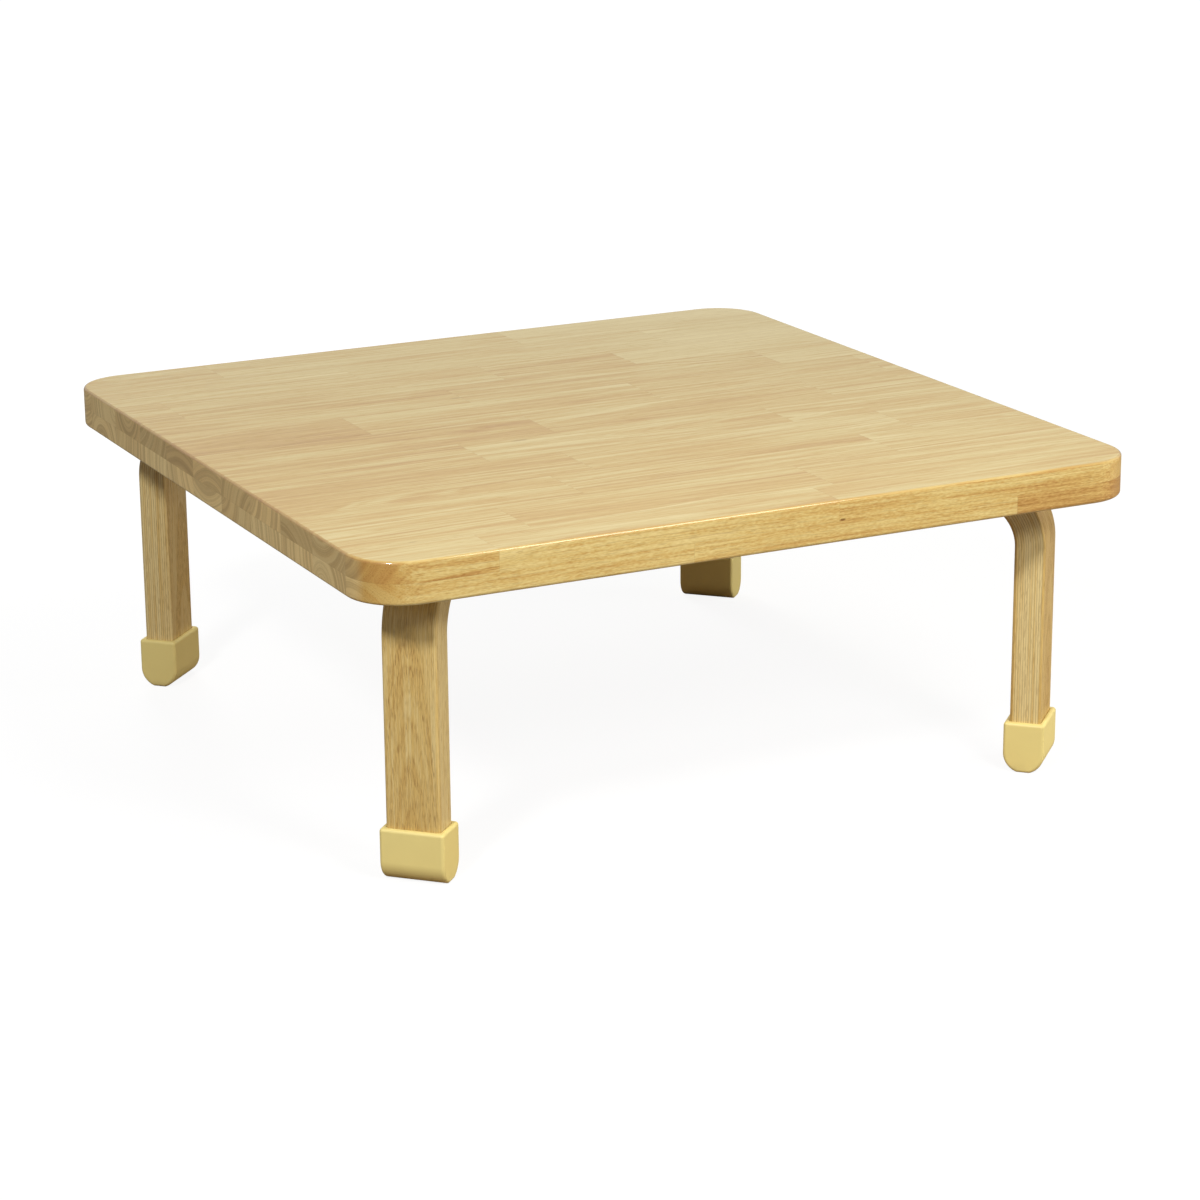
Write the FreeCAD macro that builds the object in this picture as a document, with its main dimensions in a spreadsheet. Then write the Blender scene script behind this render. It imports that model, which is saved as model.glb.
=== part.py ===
import FreeCAD, Part
import math
import os
import re
import Sketcher

# Low square table for small children: a two-layer hardwood top on four bent laminated legs in vinyl boots.
# Millimetres. The origin is on the floor under the middle of the top, +Z is up, +X runs along the staves,
# and the front edge of the table faces -Y.

doc = FreeCAD.newDocument("preschool_table")

# Driving dimensions
sizes = {
    "top_length": 762,
    "top_depth": 762,
    "table_height": 304.8,
    "upper_layer": 19.05,
    "lower_layer": 19.05,
    "corner_radius": 50,
    "upper_rim_radius": 3,
    "lower_rim_radius": 3,
    "stave_width": 72,
    "front_stave_width": 50,
    "lower_first_board": 300,
    "lower_board_length": 327,
    "lower_stagger": 165,
    "leg_width": 50,
    "leg_thickness": 29,
    "leg_edge_radius": 3,
    "leg_inset": 61.5,
    "bend_inner_radius": 40,
    "arm_straight": 88,
    "slot_clearance": 0.25,
    "boot_wall": 4.6,
    "boot_clearance": 0.15,
    "boot_height": 48.5,
    "boot_sole": 6,
    "boot_sole_flat": 12,
    "boot_edge_radius": 3,
    "boot_lip_radius": 1,
    "bolt_diameter": 6,
    "bolt_engagement": 10,
    "bolt_head_diameter": 14,
    "bolt_head_height": 3.4,
    "bolt_head_round": 2,
    "bolt_socket_width": 4,
    "bolt_socket_depth": 2,
    "bolt_hole_clearance": 0.3,
    "bolt_end_distance": 20,
    "bolt_edge_distance": 13,
    "washer_diameter": 18,
    "washer_thickness": 1.6,
    "insert_diameter": 10,
    "insert_spare": 3,
    "insert_clearance": 0.05,
    "thread_clearance": 0.05,
}

# End joints of the upper staves, measured from the left end of the table, front row first
upper_joints = [
    (117, 443),
    (170, 466),
    (258, 578),
    (304, 639),
    (233, 550),
    (333, 638),
    (178, 484, 742),
    (313, 662),
    (46, 384, 531),
    (258, 606),
    (140, 470),
]
for row, joints in enumerate(upper_joints, 1):
    for number, distance in enumerate(joints, 1):
        sizes["row_%d_joint_%d" % (row, number)] = distance

sheet = doc.addObject("Spreadsheet::Sheet", "Sizes")
for line, (name, size) in enumerate(sizes.items(), 1):
    sheet.set("A%d" % line, str(size))
    sheet.setAlias("A%d" % line, name)
doc.recompute()

size_word = re.compile(r"\b(" + "|".join(sizes) + r")\b")


def formula(text):
    """The text with each size's name turned into a reference to its cell."""
    return size_word.sub(r"Sizes.\1", text)


def value(text):
    return float(sheet.evalExpression(formula(text)))


def bind(target, prop, text):
    target.setExpression(prop, formula(text))


# Heights and places that several pieces share. A leg's own frame has X outward, Y across and Z up.
half_length = "(top_length / 2)"
half_depth = "(top_depth / 2)"
underside = "(table_height - upper_layer - lower_layer)"
arm_top = "(table_height - upper_layer)"
arm_bottom = "(table_height - upper_layer - leg_thickness)"
bend_height = "(table_height - upper_layer - leg_thickness - bend_inner_radius)"
bend_outer_radius = "(bend_inner_radius + leg_thickness)"
bend_centre = "(-leg_thickness / 2 - bend_inner_radius)"
arm_end = "(-leg_thickness / 2 - bend_inner_radius - arm_straight)"
head_plane = "(table_height - upper_layer - leg_thickness - washer_thickness)"
insert_length = "(bolt_engagement + insert_spare)"
from_corner_centre = "((corner_radius - leg_inset - leg_thickness / 2) * sqrt(0.5))"

# The corners of the table: name, side along X, side along Y, outward direction in degrees
corners = [
    ("front_left", -1, -1, 225),
    ("front_right", 1, -1, 315),
    ("back_right", 1, 1, 45),
    ("back_left", -1, 1, 135),
]

# Bolt places on an arm
bolt_places = []
for along in (arm_end + " + bolt_end_distance", bend_centre + " - bolt_end_distance"):
    for side in ("-1", "1"):
        bolt_places.append((along, side + " * (leg_width / 2 - bolt_edge_distance)"))

# How far a saw cut runs past the wood it divides, how close two places count as one, and how much of the
# wall left to it a rounded edge may take
overrun = "1"
same_place = 1e-6
most_of_wall = "0.9"


def new_body(name):
    body = doc.addObject("PartDesign::Body", name)
    body.Label = name
    return body


def new_sketch(body, name, plane, height="0"):
    sketch = body.newObject("Sketcher::SketchObject", body.Name + "_" + name)
    support = [feature for feature in body.Origin.OriginFeatures if feature.Role == plane][0]
    sketch.AttachmentSupport = [(support, "")]
    sketch.MapMode = "FlatFace"
    bind(sketch, "AttachmentOffset.Base.z", height)
    return sketch


def fix(sketch, kind, places, text):
    index = sketch.addConstraint(Sketcher.Constraint(kind, *places, value(text)))
    bind(sketch, "Constraints[%d]" % index, text)


def add_circle(sketch, x, y, radius):
    centre = FreeCAD.Vector(value(x), value(y), 0)
    circle = sketch.addGeometry(Part.Circle(centre, FreeCAD.Vector(0, 0, 1), value(radius)), False)
    fix(sketch, "DistanceX", (-1, 1, circle, 3), x)
    fix(sketch, "DistanceY", (-1, 1, circle, 3), y)
    fix(sketch, "Radius", (circle,), radius)


def add_outline(sketch, points):
    """A closed outline. A point is (x, y), or (x, y, radius, centre x, centre y, turn) where an arc leads on
    to the next point. The turn is 1 for an arc to the left and -1 for an arc to the right."""
    ends = []
    for here, there in zip(points, points[1:] + points[:1]):
        start = FreeCAD.Vector(value(here[0]), value(here[1]), 0)
        finish = FreeCAD.Vector(value(there[0]), value(there[1]), 0)
        if len(here) == 2:
            ends.append((sketch.addGeometry(Part.LineSegment(start, finish), False), 1, 2))
            continue
        radius, centre_x, centre_y, turn = here[2:]
        centre = FreeCAD.Vector(value(centre_x), value(centre_y), 0)
        from_point, to_point = (start, finish) if turn > 0 else (finish, start)
        from_angle = math.atan2(from_point.y - centre.y, from_point.x - centre.x)
        to_angle = math.atan2(to_point.y - centre.y, to_point.x - centre.x)
        circle = Part.Circle(centre, FreeCAD.Vector(0, 0, 1), value(radius))
        arc = sketch.addGeometry(Part.ArcOfCircle(circle, from_angle, to_angle), False)
        ends.append((arc, 1, 2) if turn > 0 else (arc, 2, 1))
    for (segment, first, last), (after, after_first, after_last) in zip(ends, ends[1:] + ends[:1]):
        sketch.addConstraint(Sketcher.Constraint("Coincident", segment, last, after, after_first))
    for (segment, first, last), point in zip(ends, points):
        fix(sketch, "DistanceX", (-1, 1, segment, first), point[0])
        fix(sketch, "DistanceY", (-1, 1, segment, first), point[1])
        if len(point) > 2:
            fix(sketch, "Radius", (segment,), point[2])


def add_rounded_rectangle(sketch, half_x, half_y, radius):
    inner_x = "(%s - %s)" % (half_x, radius)
    inner_y = "(%s - %s)" % (half_y, radius)
    add_outline(sketch, [
        ("-" + inner_x, "-" + half_y),
        (inner_x, "-" + half_y, radius, inner_x, "-" + inner_y, 1),
        (half_x, "-" + inner_y),
        (half_x, inner_y, radius, inner_x, inner_y, 1),
        (inner_x, half_y),
        ("-" + inner_x, half_y, radius, "-" + inner_x, inner_y, 1),
        ("-" + half_x, inner_y),
        ("-" + half_x, "-" + inner_y, radius, "-" + inner_x, "-" + inner_y, 1),
    ])


def pad(body, name, sketch, length, side="One side", down=False):
    feature = body.newObject("PartDesign::Pad", body.Name + "_" + name)
    feature.Profile = sketch
    feature.SideType = side
    feature.Reversed = down
    bind(feature, "Length", length)
    return feature


def pocket(body, name, sketch, length, up=False):
    doc.recompute()
    before = body.Shape.Volume
    feature = body.newObject("PartDesign::Pocket", body.Name + "_" + name)
    feature.Profile = sketch
    feature.Reversed = up
    bind(feature, "Length", length)
    doc.recompute()
    if body.Shape.Volume >= before:
        raise RuntimeError(feature.Name + " cut nothing")
    return feature


def fillet(body, name, base, chosen, radius):
    """Round the edges of the base feature that the test picks."""
    doc.recompute()
    edges = ["Edge%d" % index for index, edge in enumerate(base.Shape.Edges, 1) if chosen(edge.BoundBox)]
    feature = body.newObject("PartDesign::Fillet", body.Name + "_" + name)
    feature.Base = (base, edges)
    bind(feature, "Radius", radius)
    return feature


def near(first, second):
    return abs(first - second) < same_place


def at_height(box, height):
    return near(box.ZMin, height) and near(box.ZMax, height)


def at_side(box, distance):
    return near(abs(box.YMin), distance) and near(box.YMin, box.YMax)


def upright(box):
    return near(box.XMin, box.XMax) and near(box.YMin, box.YMax)


def place_at_corner(body, side_x, side_y, angle):
    """Put a leg's piece at its corner of the table, turned so that its own X axis points outward."""
    body.Placement.Rotation = FreeCAD.Rotation(FreeCAD.Vector(0, 0, 1), angle)
    bind(body, "Placement.Base.x", "%d * (top_length / 2 - corner_radius + %s)" % (side_x, from_corner_centre))
    bind(body, "Placement.Base.y", "%d * (top_depth / 2 - corner_radius + %s)" % (side_y, from_corner_centre))


def gather(name, members):
    group = doc.addObject("Part::Compound", name)
    group.Label = name
    group.Links = members
    return group


def cut_away(name, base, tools):
    cut = doc.addObject("Part::Cut", name)
    cut.Base = base
    cut.Tool = gather(name + "_tools", tools)
    return cut


# Layers of the top, whole

def make_layer(name, bottom, thickness, rim, rim_radius):
    body = new_body(name)
    sketch = new_sketch(body, "outline", "XY_Plane", bottom)
    add_rounded_rectangle(sketch, half_length, half_depth, "corner_radius")
    slab = pad(body, "slab", sketch, thickness)
    rim_height = value(rim)
    fillet(body, "rim", slab, lambda box: at_height(box, rim_height), rim_radius)
    return body


def make_arm_slot(name, corner):
    """Room in the lower layer for a leg's arm and for as much of its bend as stands above the underside."""
    body = new_body(name)
    sketch = new_sketch(body, "outline", "XY_Plane", underside)
    bend_reach = "sqrt(%s ^ 2 - (%s - %s) ^ 2)" % (bend_outer_radius, underside, bend_height)
    outer = "(%s + %s + slot_clearance)" % (bend_centre, bend_reach)
    inner = "(%s - slot_clearance)" % arm_end
    side = "(leg_width / 2 + slot_clearance)"
    add_outline(sketch, [(inner, "-" + side), (outer, "-" + side), (outer, side), (inner, side)])
    block = pad(body, "block", sketch, "lower_layer")
    fillet(body, "corners", block, upright, "leg_edge_radius + slot_clearance")
    place_at_corner(body, *corner)
    return body


def make_insert_seats(name, corner):
    body = new_body(name)
    sketch = new_sketch(body, "outline", "XY_Plane", arm_top)
    for x, y in bolt_places:
        add_circle(sketch, x, y, "(insert_diameter / 2 + insert_clearance)")
    pad(body, "holes", sketch, insert_length)
    place_at_corner(body, *corner)
    return body


# Staves: rows of boards sawn out of a layer, each row one node

def saw_out(name, wood, start_x, end_x, start_y, end_y, bottom, thickness):
    """The wood between two lines along X and two along Y, given from the table's front left corner."""
    saw_box = doc.addObject("Part::Box", name + "_saw_box")
    bind(saw_box, "Length", "(%s) - (%s)" % (end_x, start_x))
    bind(saw_box, "Width", "(%s) - (%s)" % (end_y, start_y))
    bind(saw_box, "Height", "%s + 2 * %s" % (thickness, overrun))
    bind(saw_box, "Placement.Base.x", "%s - top_length / 2" % start_x)
    bind(saw_box, "Placement.Base.y", "%s - top_depth / 2" % start_y)
    bind(saw_box, "Placement.Base.z", "%s - %s" % (bottom, overrun))
    piece = doc.addObject("Part::Common", name)
    piece.Base = wood
    piece.Tool = saw_box
    return piece


def make_stave(name, wood, front, back, joints, bottom, thickness):
    ends = ["-" + overrun] + joints + ["top_length + " + overrun]
    strip = saw_out(name + "_strip", wood, ends[0], ends[-1], front, back, bottom, thickness)
    boards = []
    for number, (left, right) in enumerate(zip(ends, ends[1:]), 1):
        board_name = "%s_board_%d" % (name, number)
        boards.append(saw_out(board_name, strip, left, right, front, back, bottom, thickness))
    return gather(name, boards)


def row_lines(rows):
    """Where each row of staves starts, from the front edge, with the back edge last."""
    lines = ["-" + overrun]
    for row in range(1, rows):
        lines.append("front_stave_width + %d * stave_width" % (row - 1))
    lines.append("top_depth + " + overrun)
    return lines


def joints_inside(joints, rim_radius):
    """The joints that leave a board longer than the rounded rim at the right end."""
    return [joint for joint in joints if value(joint) < value("top_length - 2 * " + rim_radius)]


def upper_row_joints(row):
    listed = (row - 1) % len(upper_joints) + 1
    names = ["row_%d_joint_%d" % (listed, number + 1) for number in range(len(upper_joints[listed - 1]))]
    return joints_inside(names, "upper_rim_radius")


def lower_row_joints(row):
    first = "lower_first_board" if row % 2 else "lower_first_board - lower_stagger"
    boards = math.ceil(value("top_length / lower_board_length"))
    names = ["%s + %d * lower_board_length" % (first, number) for number in range(boards)]
    return joints_inside(names, "lower_rim_radius")


def make_staves(prefix, wood, bottom, thickness, row_joints):
    rows = 1 + max(1, round(value("(top_depth - front_stave_width) / stave_width")))
    lines = row_lines(rows)
    staves = []
    for row, (start, end) in enumerate(zip(lines, lines[1:]), 1):
        name = "%s_stave_%02d" % (prefix, row)
        staves.append(make_stave(name, wood, start, end, row_joints(row), bottom, thickness))
    return staves


# Leg: one bent lamination, upright in its boot and flat under the top

def make_leg(name, corner):
    body = new_body(name)
    profile = new_sketch(body, "profile", "XZ_Plane")
    outer = "(leg_thickness / 2)"
    inner = "(-leg_thickness / 2)"
    add_outline(profile, [
        (outer, "boot_sole"),
        (outer, bend_height, bend_outer_radius, bend_centre, bend_height, 1),
        (bend_centre, arm_top),
        (arm_end, arm_top),
        (arm_end, arm_bottom),
        (bend_centre, arm_bottom, "bend_inner_radius", bend_centre, bend_height, -1),
        (inner, bend_height),
        (inner, "boot_sole"),
    ])
    blank = pad(body, "blank", profile, "leg_width", side="Symmetric")
    half_width = value("leg_width / 2")
    fillet(body, "edges", blank, lambda box: at_side(box, half_width), "leg_edge_radius")
    holes = new_sketch(body, "hole_places", "XY_Plane", arm_top)
    for x, y in bolt_places:
        add_circle(holes, x, y, "(bolt_diameter / 2 + bolt_hole_clearance)")
    pocket(body, "bolt_holes", holes, "leg_thickness")
    place_at_corner(body, *corner)
    return body


# Boot: a push-on vinyl cup with a half-round sole

def make_boot(name, corner):
    body = new_body(name)
    half = "(leg_thickness / 2 + boot_clearance + boot_wall)"
    half_width = "(leg_width / 2 + boot_clearance + boot_wall)"
    round_height = "sqrt(%s ^ 2 - (boot_sole_flat / 2) ^ 2)" % half
    profile = new_sketch(body, "profile", "XZ_Plane")
    add_outline(profile, [
        ("-" + half, "boot_height"),
        ("-" + half, round_height, half, "0", round_height, 1),
        ("-(boot_sole_flat / 2)", "0"),
        ("(boot_sole_flat / 2)", "0", half, "0", round_height, 1),
        (half, round_height),
        (half, "boot_height"),
    ])
    block = pad(body, "block", profile, "2 * " + half_width, side="Symmetric")
    rim_height = value("boot_height")
    side = value(half_width)
    edge_radius = "min(boot_edge_radius; %s * boot_wall)" % most_of_wall
    fillet(body, "edges", block, lambda box: at_height(box, rim_height) or at_side(box, side), edge_radius)
    mouth = new_sketch(body, "mouth", "XY_Plane", "boot_height")
    hollow_x = "(leg_thickness / 2 + boot_clearance)"
    hollow_y = "(leg_width / 2 + boot_clearance)"
    add_rounded_rectangle(mouth, hollow_x, hollow_y, "(leg_edge_radius + boot_clearance)")
    hollow = pocket(body, "hollow", mouth, "boot_height - boot_sole")
    reach_x = value(hollow_x) + same_place
    reach_y = value(hollow_y) + same_place
    fillet(body, "lip", hollow,
           lambda box: at_height(box, rim_height) and box.XMax < reach_x and box.YMax < reach_y
           and box.XMin > -reach_x and box.YMin > -reach_y,
           "min(boot_lip_radius; %s * (boot_wall - %s))" % (most_of_wall, edge_radius))
    place_at_corner(body, *corner)
    return body


# Fasteners of one leg

def make_bolts(name, corner):
    body = new_body(name)
    head_places = new_sketch(body, "head_places", "XY_Plane", head_plane)
    shank_places = new_sketch(body, "shank_places", "XY_Plane", head_plane)
    sockets = new_sketch(body, "sockets", "XY_Plane", head_plane + " - bolt_head_height")
    for x, y in bolt_places:
        add_circle(head_places, x, y, "(bolt_head_diameter / 2)")
        add_circle(shank_places, x, y, "(bolt_diameter / 2)")
        hexagon = []
        for turn in range(0, 360, 60):
            hexagon.append((
                "%s + bolt_socket_width / sqrt(3) * cos(%d)" % (x, turn),
                "%s + bolt_socket_width / sqrt(3) * sin(%d)" % (y, turn),
            ))
        add_outline(sockets, hexagon)
    heads = pad(body, "heads", head_places, "bolt_head_height", down=True)
    head_end = value(head_plane + " - bolt_head_height")
    fillet(body, "domes", heads, lambda box: at_height(box, head_end), "bolt_head_round")
    pad(body, "shanks", shank_places, "washer_thickness + leg_thickness + bolt_engagement")
    pocket(body, "hexagons", sockets, "bolt_socket_depth", up=True)
    place_at_corner(body, *corner)
    return body


def make_rings(name, corner, bottom, height, outer_radius, inner_radius):
    body = new_body(name)
    sketch = new_sketch(body, "outlines", "XY_Plane", bottom)
    for x, y in bolt_places:
        add_circle(sketch, x, y, outer_radius)
        add_circle(sketch, x, y, inner_radius)
    pad(body, "rings", sketch, height)
    place_at_corner(body, *corner)
    return body


# Build the table
nodes = []
slots = []
seats = []
for name, *corner in corners:
    slots.append(make_arm_slot(name + "_arm_slot", corner))
    seats.append(make_insert_seats(name + "_insert_seats", corner))
    nodes.append(make_leg(name + "_leg", corner))
    nodes.append(make_boot(name + "_boot", corner))
    nodes.append(make_bolts(name + "_leg_bolts", corner))
    nodes.append(make_rings(name + "_leg_washers", corner, head_plane, "washer_thickness",
                            "(washer_diameter / 2)", "(bolt_diameter / 2 + bolt_hole_clearance)"))
    nodes.append(make_rings(name + "_leg_inserts", corner, arm_top, insert_length,
                            "(insert_diameter / 2)", "(bolt_diameter / 2 + thread_clearance)"))

upper_wood = make_layer("upper_layer_wood", arm_top, "upper_layer", "table_height", "upper_rim_radius")
lower_wood = make_layer("lower_layer_wood", underside, "lower_layer", underside, "lower_rim_radius")
drilled_wood = cut_away("drilled_upper_wood", upper_wood, seats)
slotted_wood = cut_away("slotted_lower_wood", lower_wood, slots)
nodes += make_staves("upper", drilled_wood, arm_top, "upper_layer", upper_row_joints)
nodes += make_staves("lower", slotted_wood, underside, "lower_layer", lower_row_joints)
doc.recompute()

# Check everything before anything is written
for item in doc.Objects:
    if "Invalid" in item.State or "Error" in item.State:
        raise RuntimeError(item.Name + " failed: " + str(item.State))
for node in nodes:
    if node.Shape.isNull() or not node.Shape.isValid() or not node.Shape.Solids:
        raise RuntimeError(node.Label + " has no valid shape")

os.makedirs("parts", exist_ok=True)
for node in nodes:
    node.Shape.exportStep("parts/%s.step" % node.Label)
print("%d nodes, %d solids" % (len(nodes), sum(len(node.Shape.Solids) for node in nodes)))
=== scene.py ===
import bpy
import math
from mathutils import Matrix, Vector


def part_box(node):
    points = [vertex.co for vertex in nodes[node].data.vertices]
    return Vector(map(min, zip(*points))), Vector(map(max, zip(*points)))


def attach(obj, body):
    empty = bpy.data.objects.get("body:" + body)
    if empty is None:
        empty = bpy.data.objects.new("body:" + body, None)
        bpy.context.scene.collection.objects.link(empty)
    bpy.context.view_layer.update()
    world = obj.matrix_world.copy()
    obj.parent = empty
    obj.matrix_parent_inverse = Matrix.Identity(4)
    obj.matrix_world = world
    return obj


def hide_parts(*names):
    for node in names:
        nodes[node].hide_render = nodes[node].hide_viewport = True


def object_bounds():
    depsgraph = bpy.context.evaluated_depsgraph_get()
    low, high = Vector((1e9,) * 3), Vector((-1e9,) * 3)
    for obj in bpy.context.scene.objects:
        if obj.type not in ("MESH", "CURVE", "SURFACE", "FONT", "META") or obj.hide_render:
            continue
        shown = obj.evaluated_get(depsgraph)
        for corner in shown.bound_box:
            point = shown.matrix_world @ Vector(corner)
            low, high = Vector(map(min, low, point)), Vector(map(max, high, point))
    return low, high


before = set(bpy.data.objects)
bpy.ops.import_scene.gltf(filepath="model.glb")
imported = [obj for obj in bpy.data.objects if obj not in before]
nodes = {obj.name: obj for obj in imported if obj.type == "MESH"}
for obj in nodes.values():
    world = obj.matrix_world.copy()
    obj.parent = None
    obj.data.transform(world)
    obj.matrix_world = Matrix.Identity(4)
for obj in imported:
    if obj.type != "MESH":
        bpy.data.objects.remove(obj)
cadLow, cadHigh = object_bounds()
print("frame loaded,", len(nodes), "pieces")


# small helpers for node trees

def paint(red, green, blue):  # a colour as a picture program writes it, made linear
    levels = [level / 255 for level in (red, green, blue)]
    linear = [level / 12.92 if level < 0.04045 else ((level + 0.055) / 1.055) ** 2.4 for level in levels]
    return (*linear, 1)


def feedSocket(tree, socket, feed):
    if isinstance(feed, bpy.types.NodeSocket):
        tree.links.new(feed, socket)
    else:
        socket.default_value = feed


def addNode(tree, kind, inputs=None, **settings):
    node = tree.nodes.new(kind)
    for name, setting in settings.items():
        setattr(node, name, setting)
    for name, feed in (inputs or {}).items():
        feedSocket(tree, node.inputs[name], feed)
    return node


def calc(tree, operation, *feeds):
    return addNode(tree, "ShaderNodeMath", dict(enumerate(feeds)), operation=operation).outputs[0]


def vectorCalc(tree, operation, *feeds, output="Vector"):
    node = addNode(tree, "ShaderNodeVectorMath", dict(enumerate(feeds)), operation=operation)
    return node.outputs[output]


def combine(tree, x, y, z):
    return addNode(tree, "ShaderNodeCombineXYZ", {0: x, 1: y, 2: z}).outputs[0]


def split(tree, vector):
    return addNode(tree, "ShaderNodeSeparateXYZ", {0: vector}).outputs[:]


def remap(tree, feed, low, high, toLow=0, toHigh=1):
    inputs = {"Value": feed, "From Min": low, "From Max": high, "To Min": toLow, "To Max": toHigh}
    return addNode(tree, "ShaderNodeMapRange", inputs, interpolation_type="SMOOTHSTEP").outputs[0]


def swing(tree, feed, amount):  # a noise made to go as far below nought as above it
    return calc(tree, "MULTIPLY_ADD", feed, amount, -amount / 2)


def nearLevel(tree, feed, level, width):  # 1 at the level, 0 further off than the width
    return remap(tree, calc(tree, "ABSOLUTE", calc(tree, "SUBTRACT", feed, level)), 0, width, 1, 0)


def noise(tree, place, stretch, detail=2, roughness=0.5):
    scaled = vectorCalc(tree, "MULTIPLY", place, stretch)
    inputs = {"Vector": scaled, "Scale": 1, "Detail": detail, "Roughness": roughness}
    return addNode(tree, "ShaderNodeTexNoise", inputs).outputs[0]


def chances(tree, seed):  # three steady random numbers from 0 to 1
    scatter = addNode(tree, "ShaderNodeTexWhiteNoise", {"W": seed}, noise_dimensions="1D")
    return addNode(tree, "ShaderNodeSeparateColor", {0: scatter.outputs["Color"]}).outputs[:]


def mixColors(tree, factor, first, second, mode="MIX"):
    node = addNode(tree, "ShaderNodeMix", data_type="RGBA", blend_type=mode)
    for name, feed in (("Factor_Float", factor), ("A_Color", first), ("B_Color", second)):
        feedSocket(tree, next(socket for socket in node.inputs if socket.identifier == name), feed)
    return next(socket for socket in node.outputs if socket.identifier == "Result_Color")


def mixValues(tree, factor, first, second):
    node = addNode(tree, "ShaderNodeMix", {"Factor": factor, "A": first, "B": second}, data_type="FLOAT")
    return node.outputs[0]


def stain(tree, mask, share, color, stainColor):  # a colour let in where the mask is, up to a share
    return mixColors(tree, calc(tree, "MULTIPLY", mask, share), color, stainColor)


def ramp(tree, factor, stops):
    node = addNode(tree, "ShaderNodeValToRGB", {0: factor})
    elements = node.color_ramp.elements
    while len(elements) < len(stops):
        elements.new(0.5)
    for element, (position, color) in zip(elements, stops):
        element.position = position
        element.color = color
    return node.outputs["Color"]


def startGroup(name, kind, inputs, outputs):
    tree = bpy.data.node_groups.new(name, kind)
    for direction, sockets in (("INPUT", inputs), ("OUTPUT", outputs)):
        for label, socketKind in sockets:
            tree.interface.new_socket(label, in_out=direction, socket_type="NodeSocket" + socketKind)
    given = tree.nodes.new("NodeGroupInput").outputs
    result = tree.nodes.new("NodeGroupOutput").inputs
    return tree, given, result


def fillGroup(tree, group, inputs):
    return addNode(tree, "ShaderNodeGroup", inputs, node_tree=group).outputs


def startMaterial(name):
    material = bpy.data.materials.new(name)
    material.use_nodes = True
    material.node_tree.nodes.clear()
    return material, material.node_tree


def finishMaterial(tree, looks, height, bump, bumpDepth):
    relief = addNode(tree, "ShaderNodeBump", {"Strength": bump, "Distance": bumpDepth, "Height": height})
    shader = addNode(tree, "ShaderNodeBsdfPrincipled", {**looks, "Normal": relief.outputs[0]})
    addNode(tree, "ShaderNodeOutputMaterial", {"Surface": shader.outputs[0]})


# stage: a white floor that keeps a soft shadow, and lamps in front, beside and behind

stage = {
    "floorSize": 40,
    "floorSeen": (0.85, 0.85, 0.85, 1),         # as the camera sees it
    "floorBounce": (0.27, 0.26, 0.245, 1),      # as it throws light back
    "floorShade": (0.27, 0.165, 0.085, 1),      # the same under the table, darker and warmer: painted shade and painted bounce light from the wood over it
    "shadeNear": 0.3,
    "shadeFar": 0.7,
    "glowWhite": 1.06,
    "glowShare": 0.85,          # of plain white near the table, rising to all of it further out
    "glowNear": 0.7,
    "glowFar": 2.2,
    "worldLight": 0.15,
    "worldShine": 0.5,          # what glossy faces mirror of the world
    "aim": (-0.05, -0.2, 0.25),
}

lamps = {
    "main": {"place": (0.2, -1.9, 1.4), "size": (0.5, 0.5), "power": 18},
    "fill": {"place": (-2.3, -2.0, 2.5), "size": (0.5, 0.5), "power": 73, "mirrored": True},
    "side": {"place": (1.8, -0.65, 0.3), "size": (0.7, 0.35), "power": 14},
    "back": {"place": (0.3, 1.6, 1.8), "size": (1, 1), "power": 6},
    "rear": {"place": (0.2, 2.4, 0.7), "size": (0.8, 0.5), "power": 25},    # for the back edge and legs
    "strip": {"place": (0.77, -1.18, 1.9), "size": (0.6, 1.3), "power": 13, "mirrored": True,
              "along": (0, 0.89, 0.46), "color": (1, 0.94, 0.74)},          # shines in the front rim
}


def seesBackground(tree):  # camera and transmission rays
    light = addNode(tree, "ShaderNodeLightPath").outputs
    return calc(tree, "MAXIMUM", light["Is Camera Ray"], light["Is Transmission Ray"])


def makeWorld():
    world = bpy.data.worlds.new("studio")
    bpy.context.scene.world = world
    world.use_nodes = True
    tree = world.node_tree
    tree.nodes.clear()
    light = addNode(tree, "ShaderNodeLightPath").outputs
    strength = mixValues(tree, light["Is Glossy Ray"], stage["worldLight"], stage["worldShine"])
    strength = mixValues(tree, seesBackground(tree), strength, 1)
    background = addNode(tree, "ShaderNodeBackground", {"Color": (1, 1, 1, 1), "Strength": strength})
    addNode(tree, "ShaderNodeOutputWorld", {"Surface": background.outputs[0]})


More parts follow.
